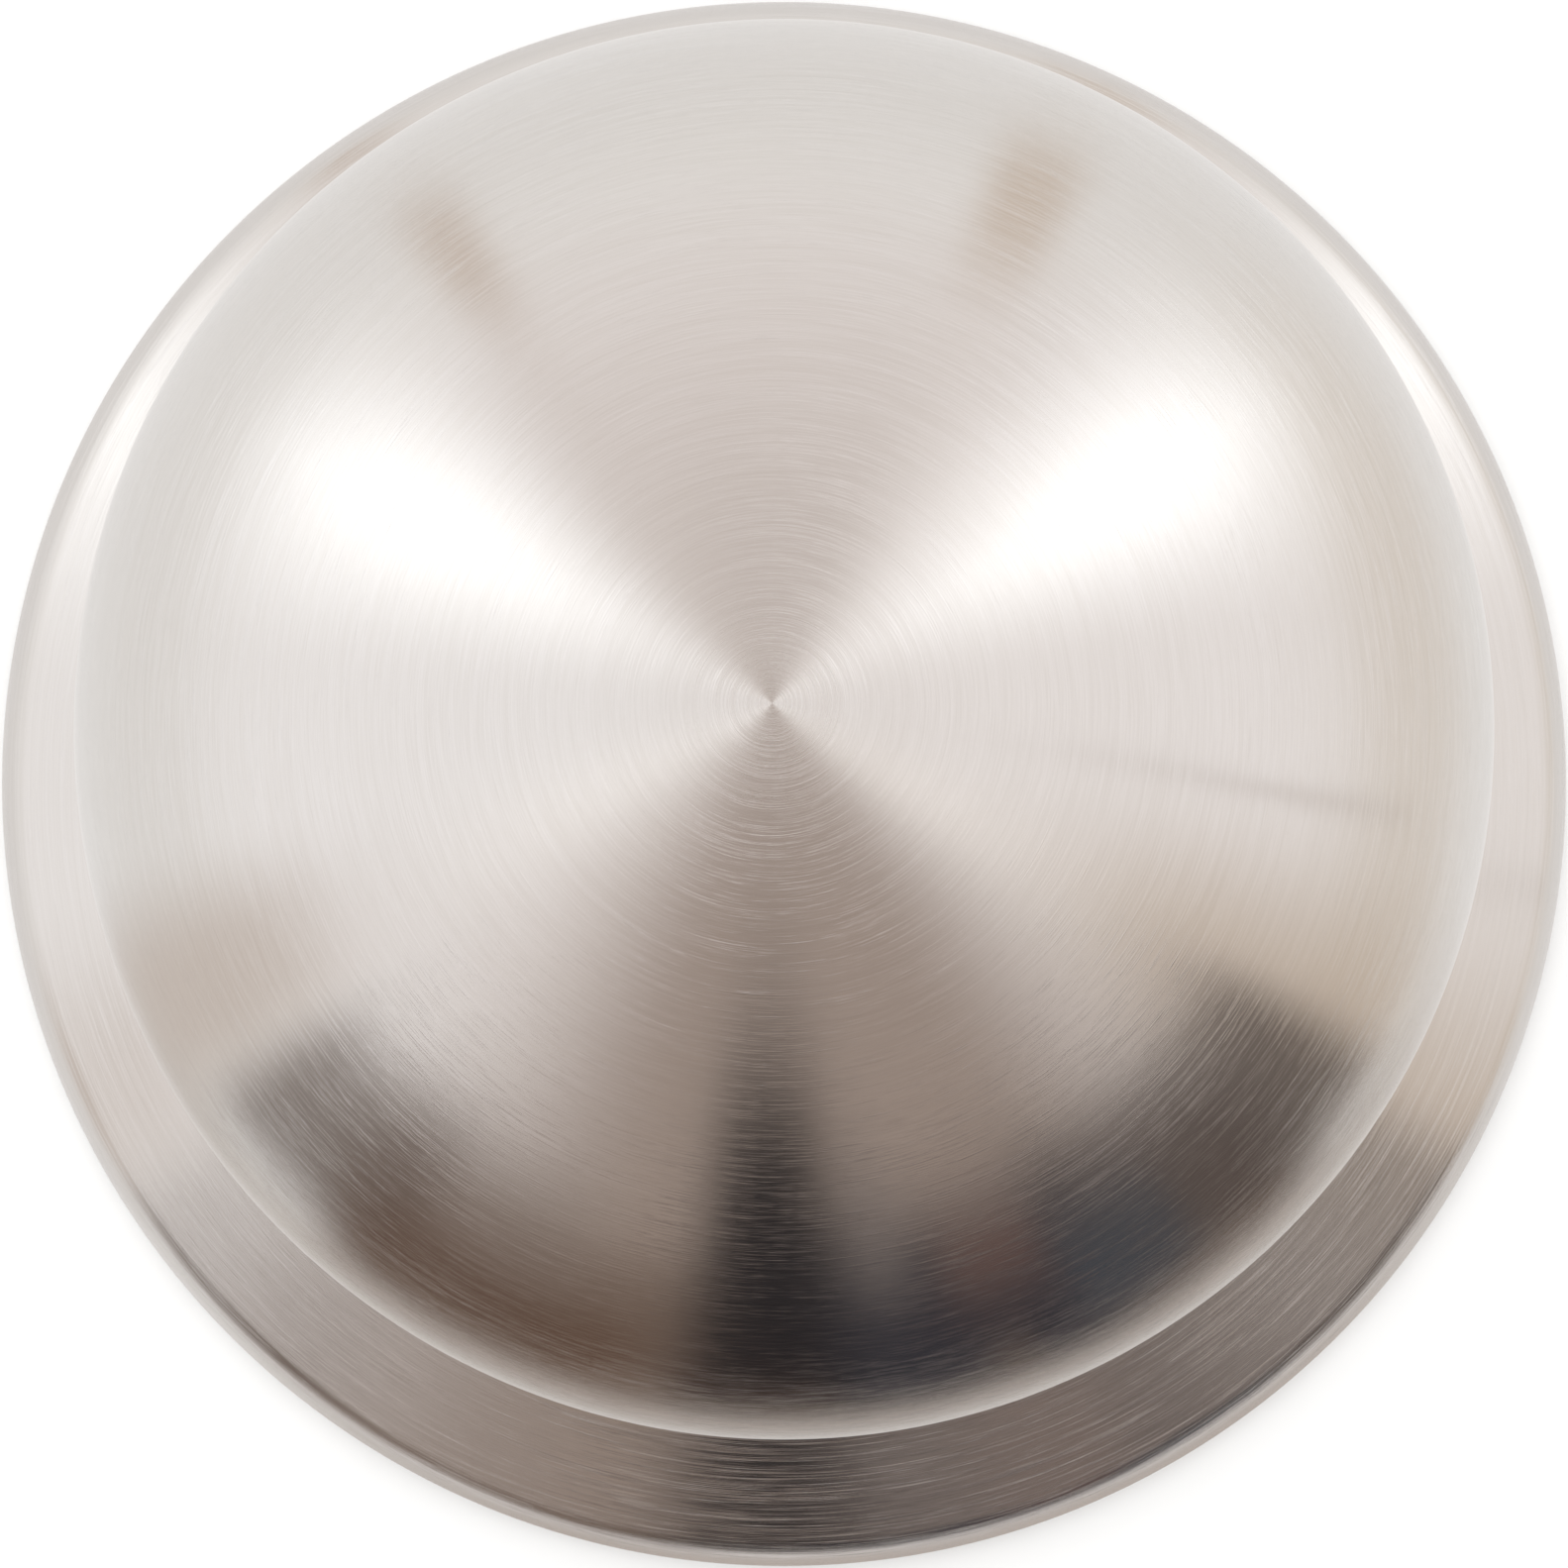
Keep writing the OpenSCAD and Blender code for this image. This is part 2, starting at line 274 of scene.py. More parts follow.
def cover_side(inset):
    """One side of the sheet, from its foot up to the collar's top, moved inwards by inset.

    The edge's arc turns from level to the cone's normal, and the neck's arc from the cone to upright.
    """
    foot = np.array([cover_r - inset, cover_foot + COVER_WALL / 2])
    head = np.array([collar_r - inset, collar_top - COVER_WALL / 2])
    roll = arc(edge, EDGE_R - inset, 0, 90 - COVER_TILT, LARGE_ARC)
    turn_up = arc(neck, NECK_R + inset, 270 - COVER_TILT, 180, LARGE_ARC)
    return np.concatenate([
        straight(foot, roll[0]), roll,
        straight(roll[-1], turn_up[0]), turn_up,
        straight(turn_up[-1], head),
    ])


def sheet_end(outer_r, height, start, stop):
    """The half round end of the sheet, about the middle of its wall."""
    return arc((outer_r - COVER_WALL / 2, height), COVER_WALL / 2, start, stop, END_ARC)


cover_profile = joined(
    cover_side(0),
    sheet_end(collar_r, collar_top - COVER_WALL / 2, 0, 180),
    cover_side(COVER_WALL)[::-1],
    sheet_end(cover_r, cover_foot + COVER_WALL / 2, 180, 360),
)
cover_mesh = grid_mesh("cover_shell", lathe(cover_profile))
cover_shell = add_piece(cover_mesh, "cover", "stainless_brushed", "base_cover")

# %% [markdown]
# ## The collar's seal
#
# A moulded rubber ring fills the gap between the collar and the sleeve. It has a bead that sits on the
# collar's top and two thin lips that touch the sleeve, so that rain runs off and the cover still slides.
# The CAD has a plain ring with a flange. The section below keeps its outline and gives it the lips.

# %% Seal ring
SEAL_BORE_FIT = 0.1 * MM
LIP_RELIEF = 0.45 * MM
LIP_HEIGHT = 1.2 * MM
CORNER = 0.2 * MM
BEAD_ARC = 10
SEAL_AROUND = 192
seal_bore = post_r + SEAL_BORE_FIT
collar_in_r = collar_r - COVER_WALL


def lip(height):
    """A wiping lip: the bore's section comes in to the sleeve at this height and goes back out."""
    relieved = seal_bore + LIP_RELIEF
    return np.array([
        (relieved, height - LIP_HEIGHT), (seal_bore, height - CORNER), (seal_bore, height + CORNER),
        (relieved, height + LIP_HEIGHT),
    ])


bead_r = (seal_top - collar_top) / 2
seal_profile = joined(
    (seal_bore + LIP_RELIEF, seal_foot),
    (collar_in_r - CORNER, seal_foot),
    (collar_in_r, seal_foot + CORNER),
    (collar_in_r, collar_top),
    (collar_r - bead_r, collar_top),
    arc((collar_r - bead_r, collar_top + bead_r), bead_r, -90, 90, BEAD_ARC),
    (seal_bore + CORNER, seal_top),
    (seal_bore, seal_top - CORNER),
    lip(seal_top - 2 * LIP_HEIGHT)[::-1],
    lip(seal_foot + 2 * LIP_HEIGHT)[::-1],
)
seal_mesh = grid_mesh("seal_ring", lathe(seal_profile, SEAL_AROUND))
seal_ring = add_piece(seal_mesh, "cover", "black_rubber", "cover_seal")

# %% [markdown]
# ## Threaded anchor studs
#
# A thread could be made by sweeping a triangle along a helix and cutting it from the rod, or as one
# surface whose radius depends on height and angle. The second way has no cuts to go wrong: the phase of
# the thread is z / pitch - a / 2 pi, and the radius falls from crest to root and back as the phase goes
# from 0 to 1. The rod's own outline, with the chamfered end, the waist and the cone that spreads the
# clip, limits the radius.

# %% Studs
PITCH = 1.75 * MM
THREAD_DEPTH = 1.07 * MM
THREAD_UNDERSIZE = 0.2 * MM
THREAD_R = shank_r - THREAD_UNDERSIZE
THREAD_FLAT = 0.16
END_BEVEL = 1 * MM
WAIST_R = shank_r - 1.4 * MM
TIP_R = shank_r - 0.5 * MM
CONE_H = 5 * MM
CLIP_H = 18 * MM
ROWS_PER_TURN = 14
STUD_AROUND = 40


def thread_depth(z, turn):
    """Depth of the thread below its crest: a clipped triangle wave of the phase z / pitch - a / 2 pi."""
    phase = (z / PITCH - turn / (2 * np.pi)) % 1
    wave = 1 - np.abs(2 * phase - 1)
    return THREAD_DEPTH * np.clip((wave - THREAD_FLAT) / (1 - 2 * THREAD_FLAT), 0, 1)


def field_grid(z, radius):
    """Grid of points (r cos a, r sin a, z), where the radius is an array over heights and angles."""
    turn = np.linspace(0, 2 * np.pi, radius.shape[1])
    return np.stack(np.broadcast_arrays(radius * np.cos(turn), radius * np.sin(turn), z[:, None]), axis=-1)


def stud_grid():
    """The rod from its lower end to its top, closed at both ends by a row of points on the axis."""
    turn = np.linspace(0, 2 * np.pi, STUD_AROUND + 1)
    waist = stud_foot + 2 * CONE_H
    outline = np.array([
        (stud_foot, TIP_R - END_BEVEL), (stud_foot + END_BEVEL, TIP_R), (stud_foot + CONE_H, TIP_R),
        (waist, WAIST_R), (waist + CLIP_H, WAIST_R), (waist + CLIP_H + END_BEVEL, shank_r),
        (-THREAD_UNDERSIZE, shank_r), (0, THREAD_R),
        (stud_top - END_BEVEL, THREAD_R), (stud_top, THREAD_R - END_BEVEL),
    ])
    thread_rows = math.ceil(stud_top / PITCH * ROWS_PER_TURN)
    z = np.concatenate([outline[:-2, 0], np.linspace(0, stud_top, thread_rows + 1)[1:]])
    limit = np.interp(z, outline[:, 0], outline[:, 1])[:, None]
    threaded = THREAD_R - thread_depth(z[:, None], turn)
    radius = np.where(z[:, None] > 0, np.minimum(limit, threaded), limit + 0 * turn)
    axis = np.zeros_like(radius[:1])
    closed = np.concatenate([axis, radius, axis])
    return field_grid(np.concatenate([z[:1], z, z[-1:]]), closed)


def at_anchor(grid, place):
    """The grid turned and moved out to one of the anchors, as the CAD places them on their circle."""
    angle = ANCHOR_TURN + place * 2 * math.pi / anchor_count
    c, s = math.cos(angle), math.sin(angle)
    turned = grid @ np.array([[c, s, 0], [-s, c, 0], [0, 0, 1]])
    return turned + anchor_circle_r * np.array([c, s, 0])


studs = []
for place in range(anchor_count):
    stud_mesh = grid_mesh("stud_%d" % (place + 1), at_anchor(stud_grid(), place))
    studs.append(add_piece(stud_mesh, "post", "zinc_plated_steel", "anchor_studs"))

# %% [markdown]
# ## Nuts and washers
#
# A hexagon nut is again one radius over height and angle. A flat of the hexagon at distance f from the
# axis has radius f / cos(a), measured from the middle of that flat, and the turned chamfer takes the
# corners off wherever its cone is nearer to the axis. The bore carries the stud's own thread a little
# wider, so the two threads mesh. Washers are punched, which rounds the edge where the punch came in, and
# the lathe makes them.

# %% Nuts
NUT_FLAT = shank_r * 1.5
NUT_CHAMFER = 1 * MM
CHAMFER_R = 0.97 * NUT_FLAT
THREAD_PLAY = 0.1 * MM
NUT_AROUND = 72
CHAMFER_LEVELS = 6
SIDE_LEVELS = 4


def nut_grid():
    """Outside, top face, threaded bore and lower face, which close into one ring."""
    turn = np.linspace(0, 2 * np.pi, NUT_AROUND + 1)
    sixth = math.radians(60)
    flats = NUT_FLAT / np.cos((turn % sixth) - sixth / 2)
    corner = NUT_FLAT / math.cos(sixth / 2)
    height = nut_top - nut_foot
    level = np.concatenate([
        np.linspace(0, NUT_CHAMFER, CHAMFER_LEVELS),
        np.linspace(NUT_CHAMFER, height - NUT_CHAMFER, SIDE_LEVELS)[1:-1],
        np.linspace(height - NUT_CHAMFER, height, CHAMFER_LEVELS),
    ])
    rise = np.minimum(level, height - level)[:, None] / NUT_CHAMFER
    outside = np.minimum(flats, CHAMFER_R + (corner - CHAMFER_R) * rise)
    bore_rows = math.ceil(height / PITCH * ROWS_PER_TURN)
    bore_z = np.linspace(nut_top, nut_foot, bore_rows + 1)
    bore = THREAD_R + THREAD_PLAY - thread_depth(bore_z[:, None], turn)
    z = np.concatenate([nut_foot + level, bore_z, [nut_foot]])
    return field_grid(z, np.concatenate([outside, bore, outside[:1]]))


nuts = []
for place in range(anchor_count):
    nut_mesh = grid_mesh("nut_%d" % (place + 1), at_anchor(nut_grid(), place))
    nuts.append(add_piece(nut_mesh, "post", "zinc_plated_steel", "anchor_nuts"))

# %% Washers
WASHER_R = 2 * shank_r
WASHER_HOLE_R = shank_r + 0.5 * MM
PUNCH_ROUND = 0.5 * MM
PUNCH_ARC = 5
WASHER_AROUND = 64

washer_profile = joined(
    (WASHER_HOLE_R, washer_foot),
    (WASHER_R - CORNER, washer_foot),
    (WASHER_R, washer_foot + CORNER),
    arc((WASHER_R - PUNCH_ROUND, washer_top - PUNCH_ROUND), PUNCH_ROUND, 0, 90, PUNCH_ARC),
    arc((WASHER_HOLE_R + PUNCH_ROUND, washer_top - PUNCH_ROUND), PUNCH_ROUND, 90, 180, PUNCH_ARC),
)
washers = []
for place in range(anchor_count):
    washer_grid = at_anchor(lathe(washer_profile, WASHER_AROUND), place)
    washer_mesh = grid_mesh("washer_%d" % (place + 1), washer_grid)
    washers.append(add_piece(washer_mesh, "post", "zinc_plated_steel", "anchor_washers"))

# %% [markdown]
# ## The core tube and its weld
#
# The core is structural tube, sawn square and fillet-welded to the base plate. A weld laid by hand is a
# row of overlapping puddles, which a plain cone of metal doesn't show. The bead's section is a slightly
# full curve from plate to tube, and its radius gets a ripple that repeats round the tube and trails
# behind at the top and bottom of the bead, as the puddles freeze there first.

# %% Core with weld bead
CORE_WALL = 4 * MM
WELD_LEG = 5 * MM
WELD_FULLNESS = 0.5 * MM
WELD_RIPPLE = 0.22 * MM
RIPPLES = 96
STEPS_PER_RIPPLE = 5
WELD_ROWS = 12
TOOTH = 0.75
core_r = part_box("core_tube")[1].x - WELD_LEG


def weld_bead():
    """Radius over height and angle: a straight fillet from plate to tube, a swell sin(pi s) and a ripple.

    s runs from 0 at the plate to 1 at the tube. The ripple is a cosine of the angle, its crest held back
    by the square of the distance from the bead's middle.
    """
    turn = np.linspace(0, 2 * np.pi, STEPS_PER_RIPPLE * RIPPLES + 1)
    s = np.linspace(0, 1, WELD_ROWS + 1)[:, None]
    swell = np.sin(np.pi * s)
    trail = TOOTH * (2 * s - 1) ** 2
    ripple = 0.5 + 0.5 * np.cos(RIPPLES * turn + 2 * np.pi * trail)
    radius = core_r + WELD_LEG * (1 - s) + swell * (WELD_FULLNESS + WELD_RIPPLE * ripple)
    return core_foot + WELD_LEG * s[:, 0], radius


bead_z, bead_radius = weld_bead()
wall_z = np.array([core_top, core_top, core_foot, core_foot])
wall_radius = np.array([core_r, core_r - CORE_WALL, core_r - CORE_WALL, core_r + WELD_LEG])
core_z = np.concatenate([bead_z, wall_z])
core_radius = np.concatenate([bead_radius, wall_radius[:, None] + 0 * bead_radius[:1]])
core_mesh = grid_mesh("welded_core", field_grid(core_z, core_radius))
welded_core = add_piece(core_mesh, "post", "galvanised_steel", "core_tube")

# %% [markdown]
# ## Building materials in code
#
# A node tree written out call by call is long and hard to read. A few short helpers make it read like a
# formula: `fill` sets or links the inputs of a node, `add` places one, and `maths`, `blend` and `ranged`
# are the nodes that are used most. A colour or a number that is the same all over a surface goes on the
# shader's own socket, and only what varies is linked.

# %% Node helpers
def fill(tree, node, inputs):
    """Gives a node its inputs, by socket name or number: a socket is linked, and a plain value is set."""
    for socket, value in inputs.items():
        if isinstance(value, bpy.types.NodeSocket):
            tree.links.new(value, node.inputs[socket])
        else:
            node.inputs[socket].default_value = value


def add(tree, kind, inputs=None, **settings):
    """Places a shader node with its settings and inputs."""
    node = tree.nodes.new("ShaderNode" + kind)
    for name, value in settings.items():
        setattr(node, name, value)
    fill(tree, node, inputs or {})
    return node


def maths(tree, operation, first, second=0.0, third=0.0):
    """A Math node's result."""
    return add(tree, "Math", {0: first, 1: second, 2: third}, operation=operation).outputs[0]


def blend(tree, factor, first, second):
    """A colour between two colours."""
    return add(tree, "Mix", {0: factor, 6: first, 7: second}, data_type="RGBA").outputs[2]


def ranged(tree, value, low, high, to_low=0.0, to_high=1.0, shape="SMOOTHSTEP"):
    """The value taken from low..high to to_low..to_high, held at the ends."""
    inputs = {"Value": value, "From Min": low, "From Max": high, "To Min": to_low, "To Max": to_high}
    return add(tree, "MapRange", inputs, interpolation_type=shape).outputs["Result"]


def noise(tree, vector, scale, detail=2.0, roughness=0.5):
    """A Noise texture's value."""
    inputs = {"Vector": vector, "Scale": scale, "Detail": detail, "Roughness": roughness}
    return add(tree, "TexNoise", inputs).outputs["Fac"]


def stretched(tree, vector, factors):
    """A vector multiplied by three factors."""
    return add(tree, "VectorMath", {0: vector, 1: factors}, operation="MULTIPLY").outputs[0]


def new_group(name, inputs, outputs):
    """A node group with its sockets, each given as {name: (socket kind, default)} or {name: kind}."""
    tree = bpy.data.node_groups.new(name, "ShaderNodeTree")
    for socket, (kind, default) in inputs.items():
        made = tree.interface.new_socket(socket, in_out="INPUT", socket_type="NodeSocket" + kind)
        if default is not None:
            made.default_value = default
    for socket, kind in outputs.items():
        tree.interface.new_socket(socket, in_out="OUTPUT", socket_type="NodeSocket" + kind)
    return tree, tree.nodes.new("NodeGroupInput").outputs, tree.nodes.new("NodeGroupOutput").inputs


def use_group(tree, group, inputs):
    """Places a node group and returns its outputs."""
    return add(tree, "Group", inputs, node_tree=group).outputs


def new_material(name, values):
    """A material with one Principled shader, whose sockets take the values."""
    material = bpy.data.materials.new(name)
    material.use_nodes = True
    tree = material.node_tree
    shader = tree.nodes["Principled BSDF"]
    fill(tree, shader, values)
    return material, tree, shader


def bump(tree, height, distance):
    """Normal from a height that is scaled to a distance in metres."""
    return add(tree, "Bump", {"Height": height, "Distance": distance, "Strength": 1.0}).outputs["Normal"]


def give(material, *pieces):
    """Puts the material on pieces, and on CAD nodes given by name."""
    for piece in pieces:
        piece = frame["nodes"][piece] if isinstance(piece, str) else piece
        if not piece.material_slots:
            piece.data.materials.append(material)
        for slot in piece.material_slots:
            slot.material = material
    print("%-20s on %d pieces" % (material.name, len(pieces)))


# %% [markdown]
# ## Effects that several finishes share
#
# Brushing, soft mottling and ground dirt show on more than one piece, so each is a node group with named
# inputs and outputs. Brushing is noise that changes quickly across the scratches and slowly along them: x
# and y count in scratch lengths and the distance across the circles in scratch widths. Fine lines make
# the grain, broader ones the bands that a worn pad leaves, and a few sparse deep scratches catch the
# light.

# %% Brushing group
BAND_STRETCH = (0.3, 0.3, 0.14)
SPARSE_STRETCH = (0.9, 0.9, 0.5)
SCRATCH_DEPTH = 0.5
BAND_SHARE = 0.35
FINE_SHARE = 0.65


def build_brushing():
    """Vector (x, y, run across the scratches), Line Width and Line Length, all in metres, in; Height and
    Grain, both 0..1, out."""
    inputs = {"Vector": ("Vector", None), "Line Width": ("Float", 0.0001), "Line Length": ("Float", 0.008)}
    tree, given, out = new_group("brushing", inputs, {"Height": "Float", "Grain": "Float"})
    x, y, run = add(tree, "SeparateXYZ", {0: given["Vector"]}).outputs
    around = add(tree, "CombineXYZ", {
        0: maths(tree, "DIVIDE", x, given["Line Length"]),
        1: maths(tree, "DIVIDE", y, given["Line Length"]),
        2: maths(tree, "DIVIDE", run, given["Line Width"]),
    }).outputs[0]
    fine = noise(tree, around, scale=1.0, detail=2.0, roughness=0.65)
    bands = noise(tree, stretched(tree, around, BAND_STRETCH), scale=1.0, detail=2.0, roughness=0.6)
    sparse = noise(tree, stretched(tree, around, SPARSE_STRETCH), scale=1.0, detail=1.0)
    cut = ranged(tree, fine, 0.48, 0.78)
    scratch = ranged(tree, sparse, 0.66, 0.72)
    worn = ranged(tree, bands, 0.35, 0.65, to_low=0.6)
    height = maths(tree, "MULTIPLY_ADD", scratch, SCRATCH_DEPTH, maths(tree, "MULTIPLY", cut, worn))
    grain = maths(tree, "MULTIPLY_ADD", bands, BAND_SHARE, maths(tree, "MULTIPLY", fine, FINE_SHARE))
    tree.links.new(height, out["Height"])
    tree.links.new(ranged(tree, grain, 0.34, 0.66), out["Grain"])
    return tree


brushing = build_brushing()


# %% Round-the-axis group
def build_round_axis():
    """Object coordinates in; (x, y, r - z) out, which is the brushing vector of a turned piece."""
    tree, given, out = new_group("round_axis", {"Vector": ("Vector", None)}, {"Vector": "Vector"})
    x, y, z = add(tree, "SeparateXYZ", {0: given["Vector"]}).outputs
    flat = add(tree, "CombineXYZ", {0: x, 1: y}).outputs[0]
    radius = add(tree, "VectorMath", {0: flat}, operation="LENGTH").outputs["Value"]
    run = maths(tree, "SUBTRACT", radius, z)
    tree.links.new(add(tree, "CombineXYZ", {0: x, 1: y, 2: run}).outputs[0], out["Vector"])
    return tree


round_axis = build_round_axis()


# %% Mottle and ground dirt groups
def build_mottle():
    """Soft clouds with finer clouds in them: Vector and Scale in, Mask 0..1 out."""
    inputs = {"Vector": ("Vector", None), "Scale": ("Float", 20.0)}
    tree, given, out = new_group("mottle", inputs, {"Mask": "Float"})
    clouds = noise(tree, given["Vector"], given["Scale"], detail=4.0, roughness=0.6)
    tree.links.new(ranged(tree, clouds, 0.3, 0.7), out["Mask"])
    return tree


def build_ground_dirt():
    """Splashed dirt that thins out upwards: Vector, Reach in metres and Amount in, Mask out."""
    inputs = {"Vector": ("Vector", None), "Reach": ("Float", 0.05), "Amount": ("Float", 0.5)}
    tree, given, out = new_group("ground_dirt", inputs, {"Mask": "Float"})
    height = add(tree, "SeparateXYZ", {0: given["Vector"]}).outputs[2]
    share = maths(tree, "DIVIDE", height, given["Reach"])
    low = ranged(tree, share, 1.0, 0.0)
    grime = noise(tree, given["Vector"], scale=260.0, detail=5.0, roughness=0.65)
    specks = ranged(tree, grime, 0.45, 0.65)
    mask = maths(tree, "MULTIPLY", maths(tree, "MULTIPLY", low, specks), given["Amount"])
    tree.links.new(mask, out["Mask"])
    return tree


mottle = build_mottle()
ground_dirt = build_ground_dirt()


def dirt_on(tree, place, reach, amount):
    """The ground dirt's mask."""
    return use_group(tree, ground_dirt, {"Vector": place, "Reach": reach, "Amount": amount})["Mask"]


def clouds_on(tree, place, scale):
    """The mottle's mask."""
    return use_group(tree, mottle, {"Vector": place, "Scale": scale})["Mask"]


print("node groups:", sorted(group.name for group in bpy.data.node_groups))

# %% [markdown]
# ## Brushed stainless
#
# A metal is its reflections: the base colour tints them, roughness blurs them, and brushing blurs them
# across the scratches much more than along. The shader's anisotropy stands for the scratches too fine to
# see, and its tangent has to follow the circles, so on the cap it comes from the UV map whose pole is the
# spindle point. The brushing group then adds the lines that are large enough to see, as bump and as a
# small change of colour and roughness.

# %% Brushed steel materials
STEEL = (0.725, 0.705, 0.69, 1.0)
STEEL_GROOVE = (0.675, 0.65, 0.625, 1.0)
STEEL_CLOUD = (0.70, 0.675, 0.65, 1.0)
QUARTER_TURN = 0.25
ROUGH = 0.20
ROUGH_AT_SPINDLE = 0.28
SPINDLE_REACH = 45 * MM
GRAIN_SHINE = -0.03
CLOUD_SHARE = 0.5
DIRT = (0.23, 0.2, 0.17, 1.0)
DIRT_ROUGHENS = 0.4


def brushed_steel(name, line_width, line_length, depth, on_cap):
    """Circular brushed steel. The cap reads its own brush attribute, other pieces the axis of the post."""
    values = {"Metallic": 1.0, "Anisotropic": 0.8, "Anisotropic Rotation": QUARTER_TURN}
    material, tree, shader = new_material(name, values)
    place = add(tree, "TexCoord").outputs["Object"]
    if on_cap:
        vector = add(tree, "Attribute", attribute_name="brush").outputs["Vector"]
        tangent = add(tree, "Tangent", direction_type="UV_MAP", uv_map="around")
    else:
        vector = use_group(tree, round_axis, {"Vector": place})["Vector"]
        tangent = add(tree, "Tangent", direction_type="RADIAL", axis="Z")
    lines = use_group(tree, brushing, {
        "Vector": vector, "Line Width": line_width, "Line Length": line_length,
    })
    clouds = clouds_on(tree, place, scale=28.0)
    dirt = dirt_on(tree, place, reach=12 * MM, amount=0.35)
    clouded = blend(tree, maths(tree, "MULTIPLY", clouds, CLOUD_SHARE), STEEL, STEEL_CLOUD)
    colour = blend(tree, lines["Grain"], STEEL_GROOVE, clouded)
    run = add(tree, "SeparateXYZ", {0: vector}).outputs[2]
    spindle = ranged(tree, run, 0.0, SPINDLE_REACH, ROUGH_AT_SPINDLE, ROUGH) if on_cap else ROUGH
    rough = maths(tree, "MULTIPLY_ADD", lines["Grain"], GRAIN_SHINE, spindle)
    fill(tree, shader, {
        "Base Color": blend(tree, dirt, colour, DIRT),
        "Roughness": maths(tree, "MULTIPLY_ADD", dirt, DIRT_ROUGHENS, rough),
        "Normal": bump(tree, lines["Height"], depth),
        "Tangent": tangent.outputs[0],
    })
    return material


cap_steel = brushed_steel(
    "cap_steel", line_width=0.09 * MM, line_length=6 * MM, depth=0.01 * MM, on_cap=True)
give(cap_steel, cap_shell)
spun_steel = brushed_steel(
    "spun_steel", line_width=0.13 * MM, line_length=30 * MM, depth=0.015 * MM, on_cap=False)
give(spun_steel, cover_shell, "post_sleeve")


# %% Turned steel
TURNED = (0.62, 0.61, 0.6, 1.0)
FEED_PER_TURN = 0.25 * MM


def turned_steel():
    """Bare stainless from a lathe: a regular tool mark, with little blur."""
    values = {"Metallic": 1.0, "Anisotropic": 0.5, "Base Color": TURNED}
    material, tree, shader = new_material("turned_steel", values)
    place = add(tree, "TexCoord").outputs["Object"]
    vector = use_group(tree, round_axis, {"Vector": place})["Vector"]
    run = add(tree, "SeparateXYZ", {0: vector}).outputs[2]
    mark = maths(tree, "PINGPONG", maths(tree, "DIVIDE", run, FEED_PER_TURN), 1.0)
    clouds = clouds_on(tree, place, scale=60.0)
    fill(tree, shader, {
        "Roughness": ranged(tree, clouds, 0.0, 1.0, to_low=0.22, to_high=0.36),
        "Normal": bump(tree, mark, 0.01 * MM),
    })
    return material


give(turned_steel(), "cap_ring", "anchor_clips")

# %% [markdown]
# ## Zinc, two ways
#
# Hot-dip galvanised steel is dipped in molten zinc, which freezes into flat crystals as large as a
# fingernail. A Voronoi texture gives each crystal its own shade and roughness. Bright zinc plating on the
# fasteners is far thinner and has no crystals: it is smooth, slightly blue, and dulls in soft patches.

# %% Galvanised and plated materials
ZINC_DARK = (0.40, 0.42, 0.43, 1.0)
ZINC_PALE = (0.62, 0.64, 0.65, 1.0)
CRYSTAL_WARP = 6 * MM
PLATED_BRIGHT = (0.68, 0.69, 0.72, 1.0)
PLATED_DULL = (0.57, 0.57, 0.56, 1.0)


def galvanised_steel():
    """Crystals of about 9 mm with soft borders, over fine runs of the dip."""
    material, tree, shader = new_material("hot_dip_zinc", {"Metallic": 1.0})
    place = add(tree, "TexCoord").outputs["Object"]
    warp = add(tree, "TexNoise", {"Vector": place, "Scale": 160.0}).outputs["Color"]
    bent = add(tree, "VectorMath", {0: warp, 1: (CRYSTAL_WARP,) * 3, 2: place}, operation="MULTIPLY_ADD")
    cells = add(tree, "TexVoronoi", {"Vector": bent.outputs[0], "Scale": 110.0, "Randomness": 1.0})
    shade = add(tree, "SeparateColor", {0: cells.outputs["Color"]}).outputs
    colour = blend(tree, shade[0], ZINC_DARK, ZINC_PALE)
    dirt = dirt_on(tree, place, reach=20 * MM, amount=0.7)
    fill(tree, shader, {
        "Base Color": blend(tree, dirt, colour, DIRT),
        "Roughness": ranged(tree, shade[1], 0.0, 1.0, to_low=0.38, to_high=0.6, shape="LINEAR"),
        "Normal": bump(tree, noise(tree, place, scale=900.0, detail=3.0), 0.03 * MM),
    })
    return material


def zinc_plating():
    """Bright plating with dulled patches, and dust in them near the ground."""
    material, tree, shader = new_material("zinc_plating", {"Metallic": 1.0})
    place = add(tree, "TexCoord").outputs["Object"]
    clouds = clouds_on(tree, place, scale=120.0)
    dirt = dirt_on(tree, place, reach=30 * MM, amount=0.35)
    colour = blend(tree, clouds, PLATED_BRIGHT, PLATED_DULL)
    fill(tree, shader, {
        "Base Color": blend(tree, dirt, colour, DIRT),
        "Roughness": ranged(tree, clouds, 0.0, 1.0, to_low=0.24, to_high=0.42),
        "Normal": bump(tree, noise(tree, place, scale=1500.0, detail=2.0), 0.008 * MM),
    })
    return material


give(galvanised_steel(), welded_core, "base_plate", "core_lid", "sleeve_foot_ring")
give(zinc_plating(), *studs, *nuts, *washers, "set_screws")
